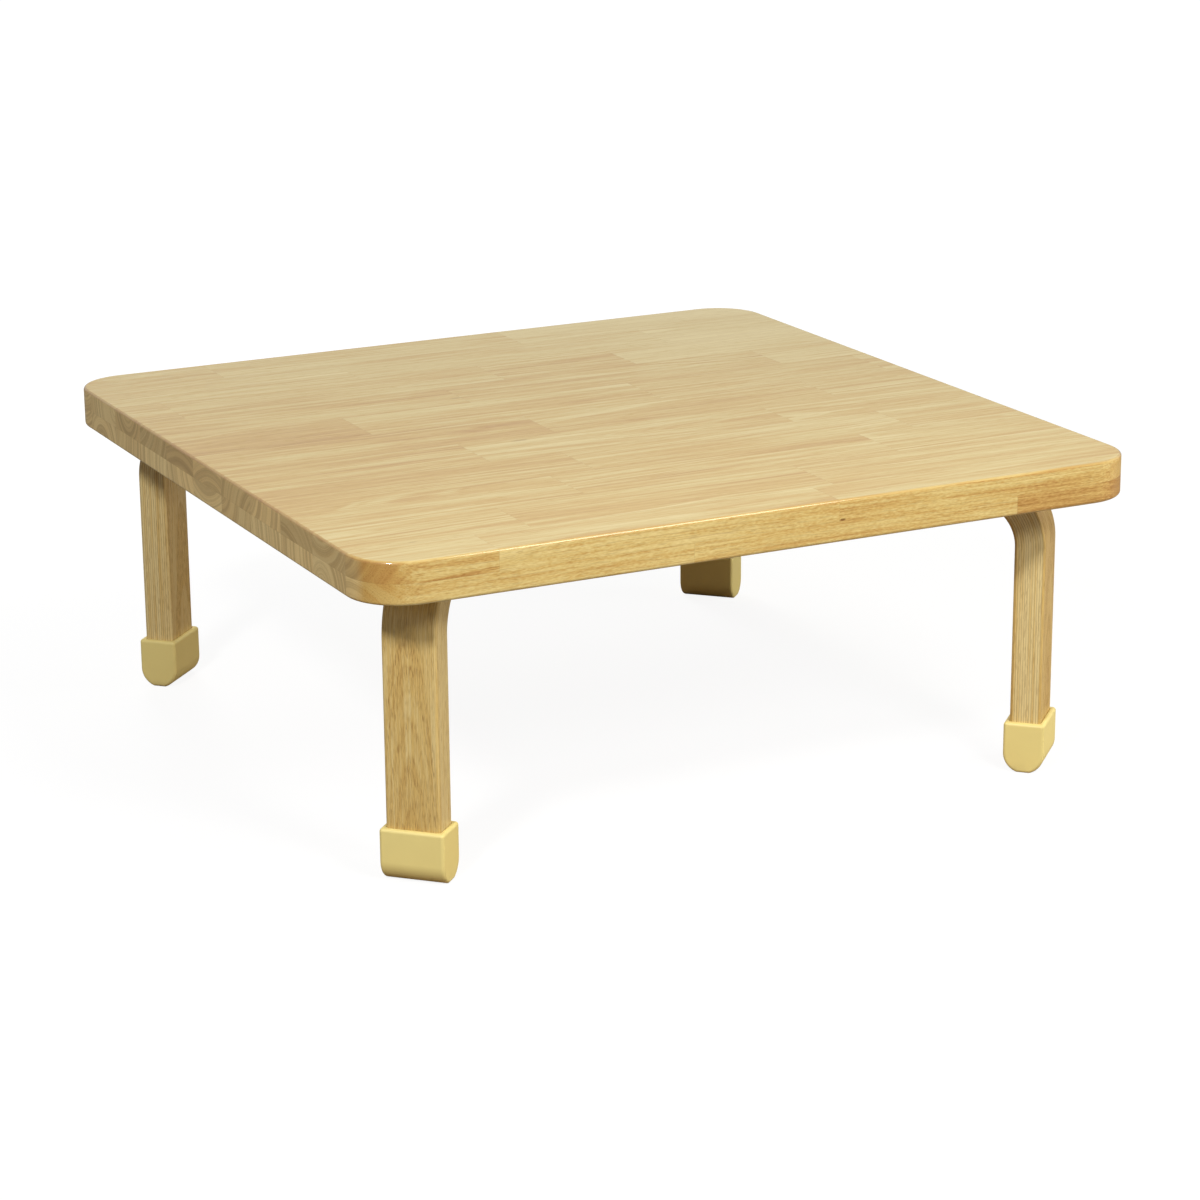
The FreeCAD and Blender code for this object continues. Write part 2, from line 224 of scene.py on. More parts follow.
def makeFloor():
    half = stage["floorSize"] / 2
    corners = [(-half, -half, 0), (half, -half, 0), (half, half, 0), (-half, half, 0)]
    mesh = bpy.data.meshes.new("floor")
    mesh.from_pydata(corners, [], [(0, 1, 2, 3)])
    floor = bpy.data.objects.new("floor", mesh)
    bpy.context.scene.collection.objects.link(floor)
    material, tree = startMaterial("floorWhite")
    seen = seesBackground(tree)
    place = addNode(tree, "ShaderNodeTexCoord").outputs["Object"]
    away = vectorCalc(tree, "LENGTH", place, output="Value")
    # painted shade: the floor throws back less, warmer light under the table
    clear = remap(tree, away, stage["shadeNear"], stage["shadeFar"])
    bounce = mixColors(tree, clear, stage["floorShade"], stage["floorBounce"])
    color = mixColors(tree, seen, bounce, stage["floorSeen"])
    matte = addNode(tree, "ShaderNodeBsdfDiffuse", {"Color": color})
    glow = addNode(tree, "ShaderNodeEmission", {"Color": (1, 1, 1, 1), "Strength": stage["glowWhite"]})
    share = remap(tree, away, stage["glowNear"], stage["glowFar"], stage["glowShare"], 1)
    share = calc(tree, "MULTIPLY", seen, share)
    mixed = addNode(tree, "ShaderNodeMixShader", {0: share, 1: matte.outputs[0], 2: glow.outputs[0]})
    addNode(tree, "ShaderNodeOutputMaterial", {"Surface": mixed.outputs[0]})
    mesh.materials.append(material)


def makeLamp(name, looks):
    data = bpy.data.lights.new(name, "AREA")
    data.shape = "ELLIPSE"
    data.size, data.size_y = looks["size"]
    data.energy = looks["power"]
    data.color = looks.get("color", (1, 1, 1))
    lamp = bpy.data.objects.new(name, data)
    bpy.context.scene.collection.objects.link(lamp)
    place = Vector(looks["place"])
    backwards = (place - Vector(stage["aim"])).normalized()
    sideways = Vector(looks.get("along", (0, 0, 1))).cross(backwards).normalized()
    turn = Matrix((sideways, backwards.cross(sideways), backwards)).transposed()
    lamp.matrix_world = Matrix.Translation(place) @ turn.to_4x4()
    lamp.visible_glossy = looks.get("mirrored", False)


# camera: where the photo was taken from

shot = {
    "place": (-1.4035, -2.8369, 1.0798),
    "yaw": 0.465,           # to the right of +Y, radians
    "pitch": 0.294,         # down
    "roll": -0.008,
    "focalPixels": 3410,
    "imagePixels": 1200,
    "sensor": 36,
    "farthest": 100,
}


def makeCamera():
    data = bpy.data.cameras.new("photoView")
    data.sensor_width = shot["sensor"]
    data.lens = shot["focalPixels"] / shot["imagePixels"] * shot["sensor"]
    data.clip_end = shot["farthest"]
    camera = bpy.data.objects.new("photoView", data)
    bpy.context.scene.collection.objects.link(camera)
    turn = Matrix.Rotation(-shot["yaw"], 4, "Z") @ Matrix.Rotation(math.pi / 2 - shot["pitch"], 4, "X")
    turn = turn @ Matrix.Rotation(shot["roll"], 4, "Z")
    camera.matrix_world = Matrix.Translation(shot["place"]) @ turn
    bpy.context.scene.camera = camera


makeWorld()
makeFloor()
for lampName, lampLooks in lamps.items():
    makeLamp(lampName, lampLooks)
makeCamera()
bpy.context.scene.view_settings.view_transform = "Standard"
print("stage and camera set")


# lacquered hardwood of the top: growth rings about a pith of each board's own

topWood = {
    "seamHeight": 0.28575,
    "frontRow": 0.05,       # width of the front row, then the pitch of the others
    "rowPitch": 0.072,
    "lowerJoints": [(0.3, 0.627), (0.135, 0.462)],
    "outside": 1,           # a place well outside the table, for lines that aren't there
    "upperSeed": 1,
    "upperStep": 3.17,      # from one row's seed to the next
    "lowerSeed": 90,
    "lowerStep": 2.83,
    "boardStep": 7.31,      # from one board's seed to the next in its row
    "pithNear": 0.02,
    "pithSpread": 0.06,
    "pithLean": 0.1,
    "wander": 0.022,        # how far the rings stray
    "specular": 0.3,
    "coat": 0.4,
    "edgeCoat": 0.05,
    "rimCoat": 1,           # lacquer gathers on the rounded rim
    "endCoat": 0.08,
    "coatRoughness": 0.05,
    "coatIor": 1.7,
    "bump": 0.1,
    "bumpDepth": 0.0004,
    "waves": {              # to a metre, along the board and across it
        "wander": (2.6, 14, 14),
        "rings": (170, 1.2, 3.1),       # these two count from the pith, then along, then by board
        "arcs": (260, 1.2, 3.1),
        "breaks": (2.5, 26, 26),
        "streaks": (4.5, 100, 100),
        "lines": (3.6, 210, 210),
        "edgeLines": (5, 330, 330),
        "flecks": (240, 1100, 1100),
        "fibre": (18, 480, 480),
        "pores": (80, 1300, 1300),
        "threads": (7, 1000, 1000),
        "cloud": (3, 20, 20),
        "knotRim": (150, 400, 400),
    },
    "weights": {            # how much each part of the figure darkens the wood
        "tone": 0.65,
        "bands": 0.24,
        "cloud": 0.45,
        "lines": 0.95,
        "linesOnEdge": 0.8,
        "fibre": 0.7,
        "edgeLines": 1.1,
        "flecks": 1.3,
        "arcs": 0.3,
        "paleVein": -0.48,
        "paleVeinOnEnd": -0.15,
        "darkVein": 0.14,
    },
    "tones": [
        (0, paint(238, 218, 160)),
        (0.3, paint(228, 205, 142)),
        (0.51, paint(219, 186, 118)),
        (0.755, paint(206, 166, 103)),
        (1, paint(184, 138, 78)),
    ],
    "threadColor": paint(172, 118, 58),
    "pitColor": paint(142, 96, 48),
    "endColor": paint(196, 158, 92),
    "glueColor": paint(140, 98, 52),
    "knotColor": paint(112, 68, 32),
    # painted shade: upright faces darker and warmer than the top
    "uprightPaintedShade": (0.895, 0.855, 0.75, 1),
    "rimTint": (0.88, 0.81, 0.64, 1),
    "cornerTint": (0.94, 0.86, 0.74, 1),
    "endTint": (1.53, 1.79, 2.57, 1),
    "endArcTint": (1.1, 1.28, 1.83, 1),
    "endDullTint": (0.62, 0.64, 0.76, 1),
    "endRimTint": (0.82, 0.76, 0.72, 1),
}

# upper rows from the front: end joints from the left end, tone of each board from pale 0 to dark 1, a knot
upperRows = [
    {"joints": (0.117, 0.443), "tones": (0.05, 0.35, 0.38), "edgeTones": (0.68, 0.06, 0.56), "endTone": 0.7,
     "knot": (0.065, -0.381, 0.287), "knotSize": 0.0014, "knotDepth": 0.85},
    {"joints": (0.17, 0.466), "tones": (0.33, 0.35, 0.32), "endTone": 0.6,
     "knot": (-0.318, -0.327, 0.305), "knotSize": 0.002},
    {"joints": (0.258, 0.578), "tones": (0.38, 0.4, 0.22), "endTone": 0.75},
    {"joints": (0.304, 0.639), "tones": (0.58, 0.32, 0.33), "endTone": 0.1},
    {"joints": (0.233, 0.55), "tones": (0.55, 0.3, 0.34), "endTone": 0.5,
     "knot": (-0.0915, -0.057, 0.305), "knotSize": 0.004},
    {"joints": (0.333, 0.638), "tones": (0.64, 0.42, 0.32), "endTone": 0.3},
    {"joints": (0.178, 0.484, 0.742), "tones": (0.67, 0.24, 0.35, 0.05), "endTone": 0.65},
    {"joints": (0.313, 0.662), "tones": (0.33, 0.31, 0.15), "endTone": 0.65,
     "knot": (-0.073, 0.1247, 0.305), "knotSize": 0.003},
    {"joints": (0.046, 0.384, 0.531), "tones": (0.56, 0.18, 0.5, -0.08), "endTone": 0.5},
    {"joints": (0.258, 0.606), "tones": (0.2, 0.15, -0.1), "endTone": 0.2},
    {"joints": (0.14, 0.47), "tones": (0.36, 0.1, -0.3), "endTone": 0.1},
]
lowerFront = {"tones": (0.44, 0.32, 0.9), "edgeTones": (0.46, 0.32, 1.36)}      # its last board is dark
lowerTones = [(0.44, 0.32, 0.4), (0.3, 0.5, 0.4), (0.45, 0.3, 0.55), (0.2, 0.5, 0.35)]
lowerEndTones = [0.3, 0.3, 0.1, 0.05, 0.35, 0.05, 0, 0, 0.2, 0.1, 0]


def buildBoardFigure():
    waves = topWood["waves"]
    weights = topWood["weights"]
    inputs = [("Place", "Vector"), ("Facing", "Vector"), ("Seed", "Float"), ("Row Front", "Float"),
              ("Row Back", "Float"), ("Seam", "Float"), ("Knot", "Vector"), ("Knot Size", "Float"),
              ("Knot Depth", "Float"), ("End Tone", "Float")]
    inputs += [("Joint %d" % number, "Float") for number in (1, 2, 3)]
    inputs += [("Tone %d" % number, "Float") for number in (1, 2, 3, 4)]
    inputs += [("Edge Tone %d" % number, "Float") for number in (1, 2, 3, 4)]
    outputs = [("Color", "Color"), ("Roughness", "Float"), ("Coat", "Float"), ("Height", "Float")]
    tree, given, result = startGroup("boardFigure", "ShaderNodeTree", inputs, outputs)
    x, y, z = split(tree, given["Place"])

    # which way the face looks
    facingX, facingY, facingZ = split(tree, given["Facing"])
    sideways = calc(tree, "ABSOLUTE", facingX)
    upright = remap(tree, calc(tree, "ABSOLUTE", facingZ), 0.3, 0.9, 1, 0)
    endGrain = calc(tree, "MULTIPLY_ADD", calc(tree, "MAXIMUM", facingY, 0), 0.35, sideways)
    endGrain = remap(tree, endGrain, 0.86, 0.97)
    rounded = remap(tree, facingZ, 0.95, 0.99, 1, 0)
    rounded = calc(tree, "MULTIPLY", remap(tree, facingZ, 0.2, 0.35), rounded)
    across = remap(tree, sideways, 0.15, 0.7)
    turned = remap(tree, sideways, 0.1, 0.6)
    turnedRim = calc(tree, "MULTIPLY", turned, remap(tree, facingZ, 0.15, 0.5))
    golden = calc(tree, "MULTIPLY", turned, remap(tree, facingX, -0.1, 0.1, 1, 0.4))

    # which board of the row, and its tone
    tone = mixValues(tree, upright, given["Tone 1"], given["Edge Tone 1"])
    board = given["Seed"]
    glueGap = calc(tree, "ABSOLUTE", calc(tree, "SUBTRACT", z, given["Seam"]))
    for number in (1, 2, 3):
        joint = given["Joint %d" % number]
        past = calc(tree, "GREATER_THAN", x, joint)
        nextTone = mixValues(tree, upright, given["Tone %d" % (number + 1)],
                             given["Edge Tone %d" % (number + 1)])
        tone = mixValues(tree, past, tone, nextTone)
        board = calc(tree, "MULTIPLY_ADD", past, topWood["boardStep"], board)
        away = calc(tree, "ABSOLUTE", calc(tree, "SUBTRACT", x, joint))
        glueGap = calc(tree, "MINIMUM", glueGap, away)
    glueGap = calc(tree, "MINIMUM", glueGap, calc(tree, "SUBTRACT", y, given["Row Front"]))
    glueGap = calc(tree, "MINIMUM", glueGap, calc(tree, "SUBTRACT", given["Row Back"], y))
    glueLine = remap(tree, glueGap, 0.00005, 0.0003, 1, 0)

    # the pith runs along the board with a slight lean
    turnChance, reachChance, leanChance = chances(tree, board)
    slopeChance, shiftChance, otherChance = chances(tree, calc(tree, "ADD", board, 0.37))
    angle = calc(tree, "MULTIPLY", turnChance, 2 * math.pi)
    reach = calc(tree, "MULTIPLY_ADD", reachChance, topWood["pithSpread"], topWood["pithNear"])
    pithY = calc(tree, "MULTIPLY", calc(tree, "COSINE", angle), reach)
    pithY = calc(tree, "MULTIPLY_ADD", x, swing(tree, leanChance, topWood["pithLean"]), pithY)
    pithZ = calc(tree, "MULTIPLY", calc(tree, "SINE", angle), reach)
    pithZ = calc(tree, "MULTIPLY_ADD", x, swing(tree, slopeChance, topWood["pithLean"]), pithZ)
    rowFront = calc(tree, "MAXIMUM", given["Row Front"], cadLow.y)
    rowBack = calc(tree, "MINIMUM", given["Row Back"], cadHigh.y)
    middle = calc(tree, "MULTIPLY", calc(tree, "ADD", rowFront, rowBack), 0.5)
    acrossY = calc(tree, "SUBTRACT", calc(tree, "SUBTRACT", y, middle), pithY)
    acrossZ = calc(tree, "SUBTRACT", calc(tree, "SUBTRACT", z, given["Seam"]), pithZ)
    distance = vectorCalc(tree, "LENGTH", combine(tree, 0, acrossY, acrossZ), output="Value")

    # growth rings on the faces, finer arcs on the ends, and pale and dark veins along the rings
    shiftX = calc(tree, "MULTIPLY", shiftChance, 30)
    shiftY = calc(tree, "MULTIPLY", otherChance, 9)
    grainPlace = vectorCalc(tree, "ADD", given["Place"], combine(tree, shiftX, shiftY, board))
    wander = swing(tree, noise(tree, grainPlace, waves["wander"]), topWood["wander"])
    ringPlace = combine(tree, calc(tree, "ADD", distance, wander), x, board)
    rings = noise(tree, ringPlace, waves["rings"], 3, 0.6)
    bands = remap(tree, rings, 0.34, 0.66)
    arcPlace = combine(tree, calc(tree, "MULTIPLY_ADD", wander, 0.3, distance), x, board)
    arcs = remap(tree, noise(tree, arcPlace, waves["arcs"], 2, 0.6), 0.36, 0.68)
    broken = remap(tree, noise(tree, grainPlace, waves["breaks"], 1), 0.4, 0.62)
    paleVein = calc(tree, "MULTIPLY", nearLevel(tree, rings, 0.57, 0.08), broken)
    darkVein = nearLevel(tree, rings, 0.4, 0.06)

    # streaks, fibres, pores and clouds
    streakPlace = vectorCalc(tree, "ADD", grainPlace, combine(tree, 0, wander, wander))
    streaks = remap(tree, noise(tree, streakPlace, waves["streaks"], 3, 0.55), 0.46, 0.72)
    lines = calc(tree, "SUBTRACT", noise(tree, streakPlace, waves["lines"], 2), 0.48)
    edgeLines = noise(tree, streakPlace, waves["edgeLines"], 2)
    flecks = noise(tree, streakPlace, waves["flecks"], 1)
    fibre = noise(tree, streakPlace, waves["fibre"], 3)
    pores = remap(tree, noise(tree, streakPlace, waves["pores"], 0), 0.58, 0.72)
    threads = remap(tree, noise(tree, streakPlace, waves["threads"], 1), 0.56, 0.7)
    cloud = noise(tree, grainPlace, waves["cloud"], 1)

    # fine grain along the board, which gives way to the arcs where the face turns to the end
    grain = calc(tree, "MULTIPLY", streaks, calc(tree, "MULTIPLY_ADD", reachChance, 0.25, 0.1))
    lineWeight = mixValues(tree, upright, weights["lines"], weights["linesOnEdge"])
    grain = calc(tree, "MULTIPLY_ADD", lines, lineWeight, grain)
    grain = calc(tree, "ADD", grain, swing(tree, fibre, weights["fibre"]))
    edgeGrain = calc(tree, "ADD", swing(tree, edgeLines, weights["edgeLines"]),
                     swing(tree, flecks, weights["flecks"]))
    grain = calc(tree, "MULTIPLY_ADD", edgeGrain, upright, grain)
    grain = mixValues(tree, across, grain, calc(tree, "MULTIPLY_ADD", arcs, weights["arcs"], -0.05))

    # all of it as one shade, from pale to dark
    shade = calc(tree, "MULTIPLY_ADD", bands, weights["bands"], -0.18)
    shade = calc(tree, "MULTIPLY_ADD", tone, weights["tone"], shade)
    shade = calc(tree, "ADD", shade, swing(tree, cloud, weights["cloud"]))
    shade = calc(tree, "ADD", shade, grain)
    veinWeight = mixValues(tree, across, weights["paleVein"], weights["paleVeinOnEnd"])
    shade = calc(tree, "MULTIPLY_ADD", paleVein, veinWeight, shade)
    shade = calc(tree, "MULTIPLY_ADD", darkVein, weights["darkVein"], shade)
    shade = calc(tree, "MULTIPLY_ADD", shade, 0.7, 0.28)
    color = ramp(tree, shade, topWood["tones"])
    color = stain(tree, threads, mixValues(tree, upright, 0.12, 0.28), color, topWood["threadColor"])
    pits = calc(tree, "MULTIPLY", pores, mixValues(tree, upright, 0.12, 0.2))
    color = mixColors(tree, pits, color, topWood["pitColor"])

    # upright faces get painted shade, darker and warmer than the top, and end grain drinks more lacquer and
    # turns dull
    color = mixColors(tree, upright, color, topWood["uprightPaintedShade"], "MULTIPLY")
    color = mixColors(tree, rounded, color, topWood["rimTint"], "MULTIPLY")
    color = mixColors(tree, golden, color, topWood["cornerTint"], "MULTIPLY")
    dull = mixColors(tree, arcs, topWood["endTint"], topWood["endArcTint"])
    dull = stain(tree, given["End Tone"], 0.7, dull, topWood["endDullTint"])
    dull = stain(tree, turnedRim, 0.9, dull, topWood["endRimTint"])
    plain = mixColors(tree, 0.6, color, topWood["endColor"])
    color = mixColors(tree, endGrain, color, mixColors(tree, 1, plain, dull, "MULTIPLY"))
    color = stain(tree, glueLine, 0.22, color, topWood["glueColor"])

    # a small knot, longer along the grain
    knotAway = vectorCalc(tree, "SUBTRACT", given["Place"], given["Knot"])
    knotAway = vectorCalc(tree, "MULTIPLY", knotAway, (0.35, 1, 1))
    knotAway = vectorCalc(tree, "LENGTH", knotAway, output="Value")
    knotRim = calc(tree, "MULTIPLY_ADD", noise(tree, grainPlace, waves["knotRim"]), 0.9, 0.55)
    knotShare = calc(tree, "DIVIDE", knotAway, calc(tree, "MULTIPLY", given["Knot Size"], knotRim))
    knotMask = remap(tree, knotShare, 0.4, 1, 1, 0)
    color = stain(tree, knotMask, given["Knot Depth"], color, topWood["knotColor"])
    tree.links.new(color, result["Color"])

    rough = calc(tree, "MULTIPLY_ADD", pores, 0.12, calc(tree, "MULTIPLY_ADD", fibre, 0.1, 0.27))
    tree.links.new(calc(tree, "MULTIPLY_ADD", endGrain, 0.08, rough), result["Roughness"])
    coat = mixValues(tree, upright, topWood["coat"], topWood["edgeCoat"])
    coat = mixValues(tree, rounded, coat, topWood["rimCoat"])
    tree.links.new(mixValues(tree, endGrain, coat, topWood["endCoat"]), result["Coat"])
    height = calc(tree, "MULTIPLY_ADD", pits, -1.6, calc(tree, "MULTIPLY", fibre, 0.4))
    tree.links.new(calc(tree, "SUBTRACT", height, glueLine), result["Height"])
    return tree


def makeStaveMaterial(name, figure, seed, front, back, joints, tones, endTone, edgeTones=None,
                      knot=(1, 1, 1), knotSize=0.001, knotDepth=0.22):
    material, tree = startMaterial(name)
    coords = addNode(tree, "ShaderNodeTexCoord").outputs
    inputs = {"Place": coords["Object"], "Facing": coords["Normal"], "Seed": seed, "Row Front": front,
              "Row Back": back, "Seam": topWood["seamHeight"], "Knot": knot, "Knot Size": knotSize,
              "Knot Depth": knotDepth, "End Tone": endTone}
    edgeTones = edgeTones or tones
    for number in (1, 2, 3):
        inputs["Joint %d" % number] = topWood["outside"]
        if number <= len(joints):
            inputs["Joint %d" % number] = cadLow.x + joints[number - 1]
    for number in (1, 2, 3, 4):
        inputs["Tone %d" % number] = tones[min(number, len(tones)) - 1]
        inputs["Edge Tone %d" % number] = edgeTones[min(number, len(edgeTones)) - 1]
    look = fillGroup(tree, figure, inputs)
    looks = {"Base Color": look["Color"], "Roughness": look["Roughness"], "Coat Weight": look["Coat"],
             "Specular IOR Level": topWood["specular"], "Coat Roughness": topWood["coatRoughness"],
             "Coat IOR": topWood["coatIor"]}
    finishMaterial(tree, looks, look["Height"], topWood["bump"], topWood["bumpDepth"])
    return material


def dressTop():
    figure = buildBoardFigure()
    front = cadLow.y - topWood["outside"]
    for row, looks in enumerate(upperRows):
        back = cadLow.y + topWood["frontRow"] + row * topWood["rowPitch"]
        if row == len(upperRows) - 1:
            back = cadHigh.y + topWood["outside"]
        label = "%02d" % (row + 1)
        upperSeed = row * topWood["upperStep"] + topWood["upperSeed"]
        upper = makeStaveMaterial("upperStave" + label, figure, upperSeed, front, back, **looks)
        lowerSeed = row * topWood["lowerStep"] + topWood["lowerSeed"]
        lowerLooks = {"tones": lowerTones[row % len(lowerTones)]} if row else lowerFront
        lower = makeStaveMaterial("lowerStave" + label, figure, lowerSeed, front, back,
                                  topWood["lowerJoints"][row % 2], endTone=lowerEndTones[row],
                                  **lowerLooks)
        nodes["upper_stave_" + label].material_slots[0].material = upper
        nodes["lower_stave_" + label].material_slots[0].material = lower
        front = back


dressTop()
print("top dressed")


# legs: bent laminations swept along an upright, a bend and an arm

leg = {
    "width": 0.05,
    "thickness": 0.029,
    "edgeRadius": 0.003,
    "edgeSteps": 5,
    "bendRadius": 0.04,     # inside of the bend
    "bendSteps": 28,
    "armReach": 0.1425,     # from the leg's axis to the end of the arm
    "endRound": 0.0025,
    "endSteps": 3,
    "endAngle": math.radians(60),
    "plies": 13,
    "plySlack": 1.0001,     # keeps the outer faces within the outer plies
    "seed": 3,
    "legStep": 41.7,        # from one leg's seed to the next
    "plyStep": 3.73,
    "coat": 0.06,
    "coatRoughness": 0.25,
    "bump": 0.2,
    "bumpDepth": 0.0004,
    "wander": 0.012,
    "waves": {              # to a metre, across the face, along the leg and through the plies
        "wander": (40, 9, 40),
        "arches": (420, 1.5, 5),        # by distance, then along, then by ply
        "streaks": (800, 5, 900),
        "dashes": (2300, 100, 1300),
    },
    "tones": [
        (0, paint(232, 210, 150)),
        (0.4, paint(216, 182, 109)),
        (0.75, paint(193, 151, 83)),
        (1, paint(163, 119, 65)),
    ],
    "dashColor": paint(136, 90, 42),
    "glueColor": paint(140, 96, 48),
    "corners": [            # how far the leg is turned, in degrees, and the tone of its wide faces
        ("front_left", 225, 0.18),
        ("front_right", 315, 0.28),
        ("back_right", 45, 0.1),
        ("back_left", 135, 0.05),
    ],
}


def buildLegTree():
    inputs = [("Width", "Float"), ("Thickness", "Float"), ("Edge Radius", "Float"), ("Edge Steps", "Int"),
              ("Bend Radius", "Float"), ("Bend Steps", "Int"), ("Foot", "Float"), ("Arm Height", "Float"),
              ("Arm Reach", "Float"), ("Turn", "Float"), ("Place", "Vector"), ("Veneer", "Material")]
    tree, given, result = startGroup("bentLeg", "GeometryNodeTree", inputs, [("Leg", "Geometry")])
    foot = combine(tree, 0, 0, given["Foot"])
    corner = combine(tree, 0, 0, given["Arm Height"])
    armEnd = combine(tree, calc(tree, "MULTIPLY", given["Arm Reach"], -1), 0, given["Arm Height"])
    line = addNode(tree, "GeometryNodeCurvePrimitiveLine", {"Start": foot, "End": armEnd}).outputs[0]
    line = addNode(tree, "GeometryNodeResampleCurve", {"Curve": line, "Count": 3}).outputs[0]
    index = addNode(tree, "GeometryNodeInputIndex").outputs[0]
    atCorner = addNode(tree, "FunctionNodeCompare", {"A": index, "B": 1},
                       data_type="INT", operation="EQUAL").outputs[0]
    line = addNode(tree, "GeometryNodeSetPosition",
                   {"Geometry": line, "Selection": atCorner, "Position": corner}).outputs[0]
    bendMiddle = calc(tree, "MULTIPLY_ADD", given["Thickness"], 0.5, given["Bend Radius"])
    path = addNode(tree, "GeometryNodeFilletCurve",
                   {"Curve": line, "Count": given["Bend Steps"], "Radius": bendMiddle},
                   mode="POLY").outputs[0]
    outline = addNode(tree, "GeometryNodeCurvePrimitiveQuadrilateral",
                      {"Width": given["Thickness"], "Height": given["Width"]}).outputs[0]
    outline = addNode(tree, "GeometryNodeFilletCurve",
                      {"Curve": outline, "Count": given["Edge Steps"], "Radius": given["Edge Radius"]},
                      mode="POLY").outputs[0]

    # remember how far along the leg and where in its section each point lies
    along = addNode(tree, "GeometryNodeSplineParameter").outputs["Length"]
    keepRun = addNode(tree, "GeometryNodeCaptureAttribute", {"Geometry": path}, domain="POINT")
    keepRun.capture_items.new("FLOAT", "run")
    tree.links.new(along, keepRun.inputs["run"])
    spot = addNode(tree, "GeometryNodeInputPosition").outputs[0]
    keepSpot = addNode(tree, "GeometryNodeCaptureAttribute", {"Geometry": outline}, domain="POINT")
    keepSpot.capture_items.new("VECTOR", "spot")
    tree.links.new(spot, keepSpot.inputs["spot"])
    body = addNode(tree, "GeometryNodeCurveToMesh",
                   {"Curve": keepRun.outputs[0], "Profile Curve": keepSpot.outputs[0],
                    "Fill Caps": True}).outputs[0]
    depth, across = split(tree, keepSpot.outputs["spot"])[:2]
    for name, field in (("run", keepRun.outputs["run"]), ("depth", depth), ("across", across)):
        body = addNode(tree, "GeometryNodeStoreNamedAttribute",
                       {"Geometry": body, "Name": name, "Value": field},
                       data_type="FLOAT", domain="POINT").outputs[0]
    turn = combine(tree, 0, 0, given["Turn"])
    body = addNode(tree, "GeometryNodeTransform",
                   {"Geometry": body, "Rotation": turn, "Translation": given["Place"]}).outputs[0]
    body = addNode(tree, "GeometryNodeRealizeInstances", {"Geometry": body}).outputs[0]
    body = addNode(tree, "GeometryNodeSetMaterial",
                   {"Geometry": body, "Material": given["Veneer"]}).outputs[0]
    tree.links.new(body, result["Leg"])
    return tree


def setInputs(modifier, values):
    for item in modifier.node_group.interface.items_tree:
        if item.in_out == "INPUT" and item.name in values:
            modifier[item.identifier] = values[item.name]


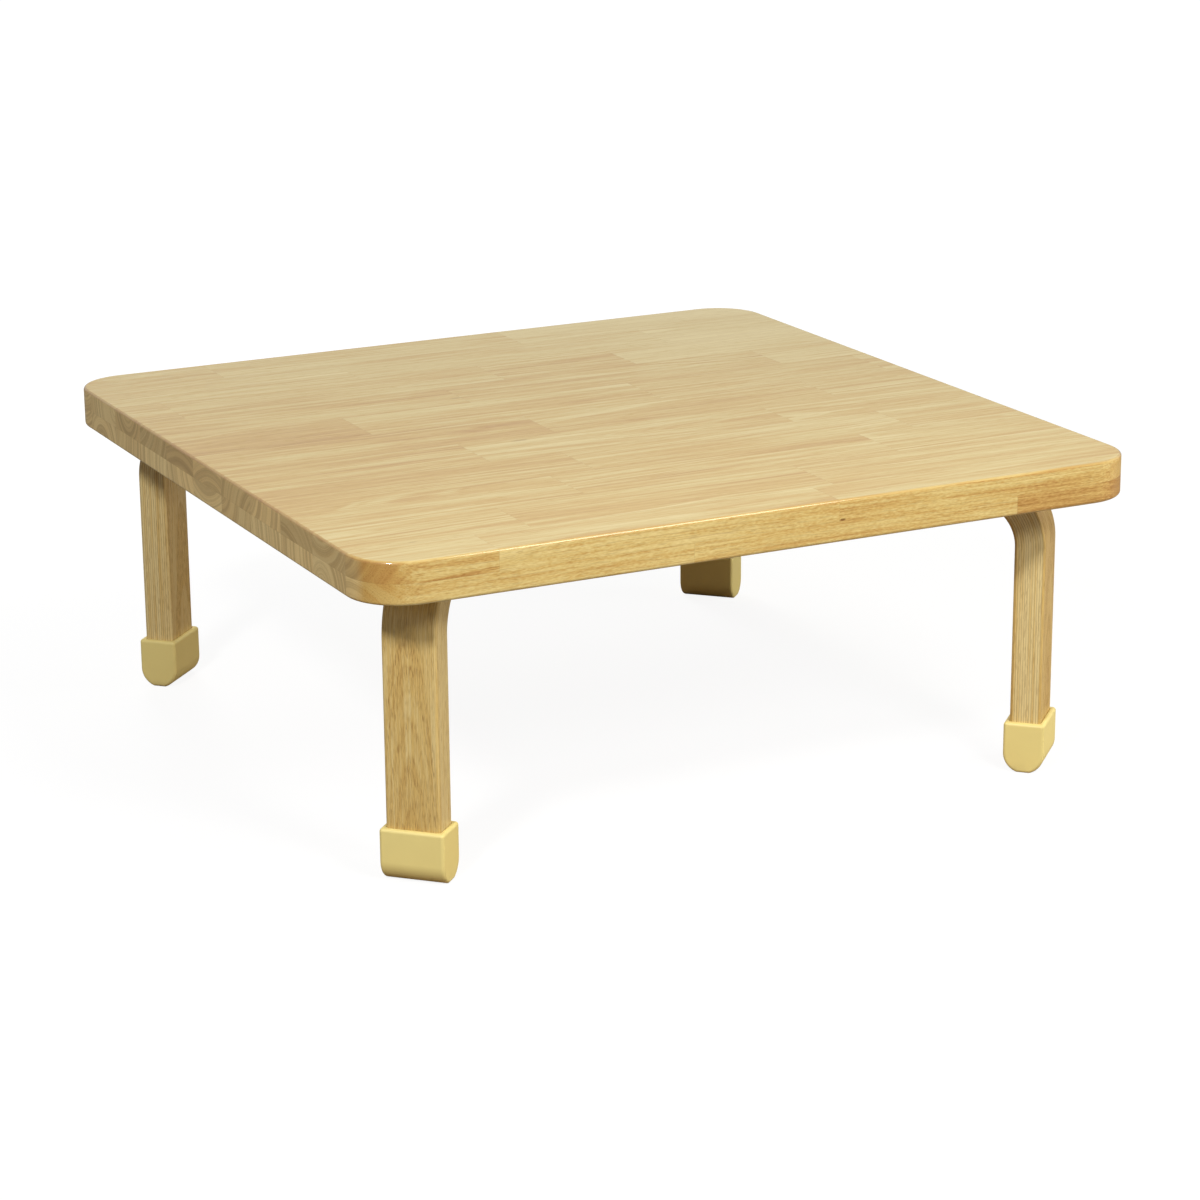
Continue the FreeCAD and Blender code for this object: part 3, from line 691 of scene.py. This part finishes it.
def buildPlyFigure():
    waves = leg["waves"]
    inputs = [("Run", "Float"), ("Depth", "Float"), ("Across", "Float"), ("Plies", "Float"),
              ("Thickness", "Float"), ("Width", "Float"), ("Tone", "Float"), ("Seed", "Float")]
    outputs = [("Color", "Color"), ("Roughness", "Float"), ("Height", "Float")]
    tree, given, result = startGroup("plyFigure", "ShaderNodeTree", inputs, outputs)

    # which ply, and how near its glue line
    share = calc(tree, "ADD", calc(tree, "DIVIDE", given["Depth"], given["Thickness"]), 0.5)
    layer = calc(tree, "MULTIPLY", share, given["Plies"])
    plySeed = calc(tree, "MULTIPLY_ADD", calc(tree, "FLOOR", layer), leg["plyStep"], given["Seed"])
    toneChance, hueChance, shiftChance = chances(tree, plySeed)
    fromMiddle = calc(tree, "ABSOLUTE", calc(tree, "SUBTRACT", share, 0.5))
    face = calc(tree, "SUBTRACT", 0.5, calc(tree, "DIVIDE", 1, given["Plies"]))
    inner = calc(tree, "LESS_THAN", fromMiddle, face)
    edge = calc(tree, "ABSOLUTE", calc(tree, "SUBTRACT", calc(tree, "FRACT", layer), 0.5))
    glueLine = remap(tree, fromMiddle, 0.455, 0.465, 1, 0)
    glueLine = calc(tree, "MULTIPLY", remap(tree, edge, 0.32, 0.48), glueLine)
    sideways = calc(tree, "DIVIDE", calc(tree, "ABSOLUTE", given["Across"]), given["Width"])
    narrow = remap(tree, sideways, 0.43, 0.47)

    # flat-sawn rings, cut at a slant so that they run up the face in long arches
    place = combine(tree, given["Across"], given["Run"], given["Depth"])
    shift = combine(tree, calc(tree, "MULTIPLY", shiftChance, 8), plySeed, 0)
    place = vectorCalc(tree, "ADD", place, shift)
    wander = swing(tree, noise(tree, place, waves["wander"]), leg["wander"])
    side = calc(tree, "SUBTRACT", given["Across"], swing(tree, hueChance, 0.02))
    side = calc(tree, "ADD", side, wander)
    slant = calc(tree, "MULTIPLY_ADD", toneChance, 0.01, 0.004)
    slant = calc(tree, "MULTIPLY_ADD", given["Run"], 0.09, slant)
    arch = vectorCalc(tree, "LENGTH", combine(tree, side, slant, 0), output="Value")
    figure = noise(tree, combine(tree, arch, given["Run"], plySeed), waves["arches"], 2)
    bands = remap(tree, figure, 0.36, 0.64)

    # pores show as dark dashes, fewer on the narrow sides
    stray = combine(tree, calc(tree, "MULTIPLY", wander, 0.4), 0, 0)
    grainPlace = vectorCalc(tree, "ADD", place, stray)
    streaks = noise(tree, grainPlace, waves["streaks"], 3)
    dashes = remap(tree, noise(tree, grainPlace, waves["dashes"], 1), 0.5, 0.62)
    dashes = calc(tree, "MULTIPLY", dashes, calc(tree, "MULTIPLY_ADD", bands, 0.6, 0.4))
    dashes = calc(tree, "MULTIPLY", dashes, calc(tree, "MULTIPLY_ADD", narrow, -0.5, 1))

    innerTone = calc(tree, "MULTIPLY_ADD", toneChance, 0.75, -0.45)
    plyTone = mixValues(tree, inner, calc(tree, "ADD", given["Tone"], 0.1), innerTone)
    shade = calc(tree, "MULTIPLY_ADD", bands, calc(tree, "MULTIPLY_ADD", narrow, -0.1, 0.18), plyTone)
    shade = calc(tree, "ADD", shade, swing(tree, streaks, 1.1))
    color = ramp(tree, shade, leg["tones"])
    color = stain(tree, dashes, 0.62, color, leg["dashColor"])
    color = stain(tree, glueLine, 0.5, color, leg["glueColor"])
    tree.links.new(color, result["Color"])
    tree.links.new(calc(tree, "MULTIPLY_ADD", dashes, 0.15, 0.36), result["Roughness"])
    height = calc(tree, "MULTIPLY_ADD", dashes, -0.8, calc(tree, "MULTIPLY", streaks, 0.4))
    tree.links.new(calc(tree, "SUBTRACT", height, glueLine), result["Height"])
    return tree


def makeLegMaterial(name, figure, seed, tone):
    material, tree = startMaterial(name)
    inputs = {"Plies": leg["plies"], "Thickness": leg["thickness"] * leg["plySlack"], "Width": leg["width"],
              "Seed": seed, "Tone": tone}
    for field in ("run", "depth", "across"):
        inputs[field.title()] = addNode(tree, "ShaderNodeAttribute", attribute_name=field).outputs["Fac"]
    look = fillGroup(tree, figure, inputs)
    looks = {"Base Color": look["Color"], "Roughness": look["Roughness"],
             "Coat Weight": leg["coat"], "Coat Roughness": leg["coatRoughness"]}
    finishMaterial(tree, looks, look["Height"], leg["bump"], leg["bumpDepth"])
    return material


def makeLegs():
    tree = buildLegTree()
    figure = buildPlyFigure()
    for number, (corner, turn, tone) in enumerate(leg["corners"]):
        node = corner + "_leg"
        legLow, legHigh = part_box(node)
        bootLow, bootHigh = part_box(corner + "_boot")
        axis = ((bootLow.x + bootHigh.x) / 2, (bootLow.y + bootHigh.y) / 2, 0)
        material = makeLegMaterial(corner + "Veneer", figure, number * leg["legStep"] + leg["seed"], tone)
        rough = bpy.data.objects.new("roughLeg", bpy.data.meshes.new("roughLeg"))
        bpy.context.scene.collection.objects.link(rough)
        sweep = rough.modifiers.new("sweep", "NODES")
        sweep.node_group = tree
        setInputs(sweep, {
            "Width": leg["width"], "Thickness": leg["thickness"],
            "Edge Radius": leg["edgeRadius"], "Edge Steps": leg["edgeSteps"],
            "Bend Radius": leg["bendRadius"], "Bend Steps": leg["bendSteps"],
            "Foot": legLow.z, "Arm Height": legHigh.z - leg["thickness"] / 2,
            "Arm Reach": leg["armReach"], "Turn": math.radians(turn), "Place": axis,
            "Veneer": material,
        })
        ends = rough.modifiers.new("ends", "BEVEL")
        ends.width = leg["endRound"]
        ends.segments = leg["endSteps"]
        ends.limit_method = "ANGLE"
        ends.angle_limit = leg["endAngle"]
        shading = rough.modifiers.new("shading", "WEIGHTED_NORMAL")
        shading.keep_sharp = True
        depsgraph = bpy.context.evaluated_depsgraph_get()
        mesh = bpy.data.meshes.new_from_object(rough.evaluated_get(depsgraph), depsgraph=depsgraph)
        mesh.name = corner + "BentLeg"
        mesh.polygons.foreach_set("use_smooth", [True] * len(mesh.polygons))
        piece = bpy.data.objects.new(corner + "BentLeg", mesh)
        bpy.context.scene.collection.objects.link(piece)
        bpy.data.objects.remove(rough)
        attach(piece, "root")
        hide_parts(node)
        print(piece.name, len(mesh.polygons), "faces", [round(side, 4) for side in piece.dimensions])


makeLegs()


# boots: soft vinyl, darker and rougher in patches towards the sole

boot = {
    "color": paint(243, 224, 146),
    "mottleColor": paint(223, 200, 126),
    "mottleShare": 0.3,
    "soleColor": paint(150, 128, 84),
    "soleShare": 0.45,
    "soleHeight": 0.012,
    "roughness": 0.36,
    "mottleRoughness": 0.14,
    "soleRoughness": 0.25,
    "bump": 0.06,
    "bumpDepth": 0.0003,
    "waves": {"mottle": (45, 45, 45), "solePatches": (60, 60, 60), "grain": (1400, 1400, 1400)},
}


def dressBoots():
    waves = boot["waves"]
    material, tree = startMaterial("bootVinyl")
    place = addNode(tree, "ShaderNodeTexCoord").outputs["Object"]
    mottle = noise(tree, place, waves["mottle"], 3)
    grain = noise(tree, place, waves["grain"], 2)
    sole = remap(tree, split(tree, place)[2], 0, boot["soleHeight"], 1, 0)
    # darker and rougher in patches towards the bottom of the boot
    soleMarks = calc(tree, "MULTIPLY", sole, remap(tree, noise(tree, place, waves["solePatches"], 4), 0.35, 0.8))
    color = stain(tree, mottle, boot["mottleShare"], boot["color"], boot["mottleColor"])
    color = stain(tree, soleMarks, boot["soleShare"], color, boot["soleColor"])
    rough = calc(tree, "MULTIPLY_ADD", mottle, boot["mottleRoughness"], boot["roughness"])
    rough = calc(tree, "MULTIPLY_ADD", soleMarks, boot["soleRoughness"], rough)
    finishMaterial(tree, {"Base Color": color, "Roughness": rough}, grain, boot["bump"], boot["bumpDepth"])
    for name, node in nodes.items():
        if name.endswith("_boot"):
            node.material_slots[0].material = material


dressBoots()


# fasteners: zinc plate and turned brass

fasteners = {
    "zincPlate": {"pieces": ("_leg_bolts", "_leg_washers"), "bright": paint(206, 208, 212),
                  "dark": paint(168, 172, 180), "roughness": 0.22, "waves": 160},
    "turnedBrass": {"pieces": ("_leg_inserts",), "bright": paint(226, 190, 112),
                    "dark": paint(190, 150, 80), "roughness": 0.25, "waves": 200},
    "fineness": 14,         # the fine relief against the clouds
    "cloudRoughness": 0.2,
    "bump": 0.05,
    "bumpDepth": 0.0002,
}


def dressFasteners(finish):
    looks = fasteners[finish]
    material, tree = startMaterial(finish)
    place = addNode(tree, "ShaderNodeTexCoord").outputs["Object"]
    cloud = noise(tree, place, [looks["waves"]] * 3, 3)
    fine = noise(tree, place, [looks["waves"] * fasteners["fineness"]] * 3, 2)
    color = mixColors(tree, cloud, looks["bright"], looks["dark"])
    rough = calc(tree, "MULTIPLY_ADD", cloud, fasteners["cloudRoughness"], looks["roughness"])
    metal = {"Base Color": color, "Roughness": rough, "Metallic": 1}
    finishMaterial(tree, metal, fine, fasteners["bump"], fasteners["bumpDepth"])
    for name, node in nodes.items():
        if name.endswith(looks["pieces"]):
            node.material_slots[0].material = material


dressFasteners("zincPlate")
dressFasteners("turnedBrass")
print("boots and fasteners dressed")
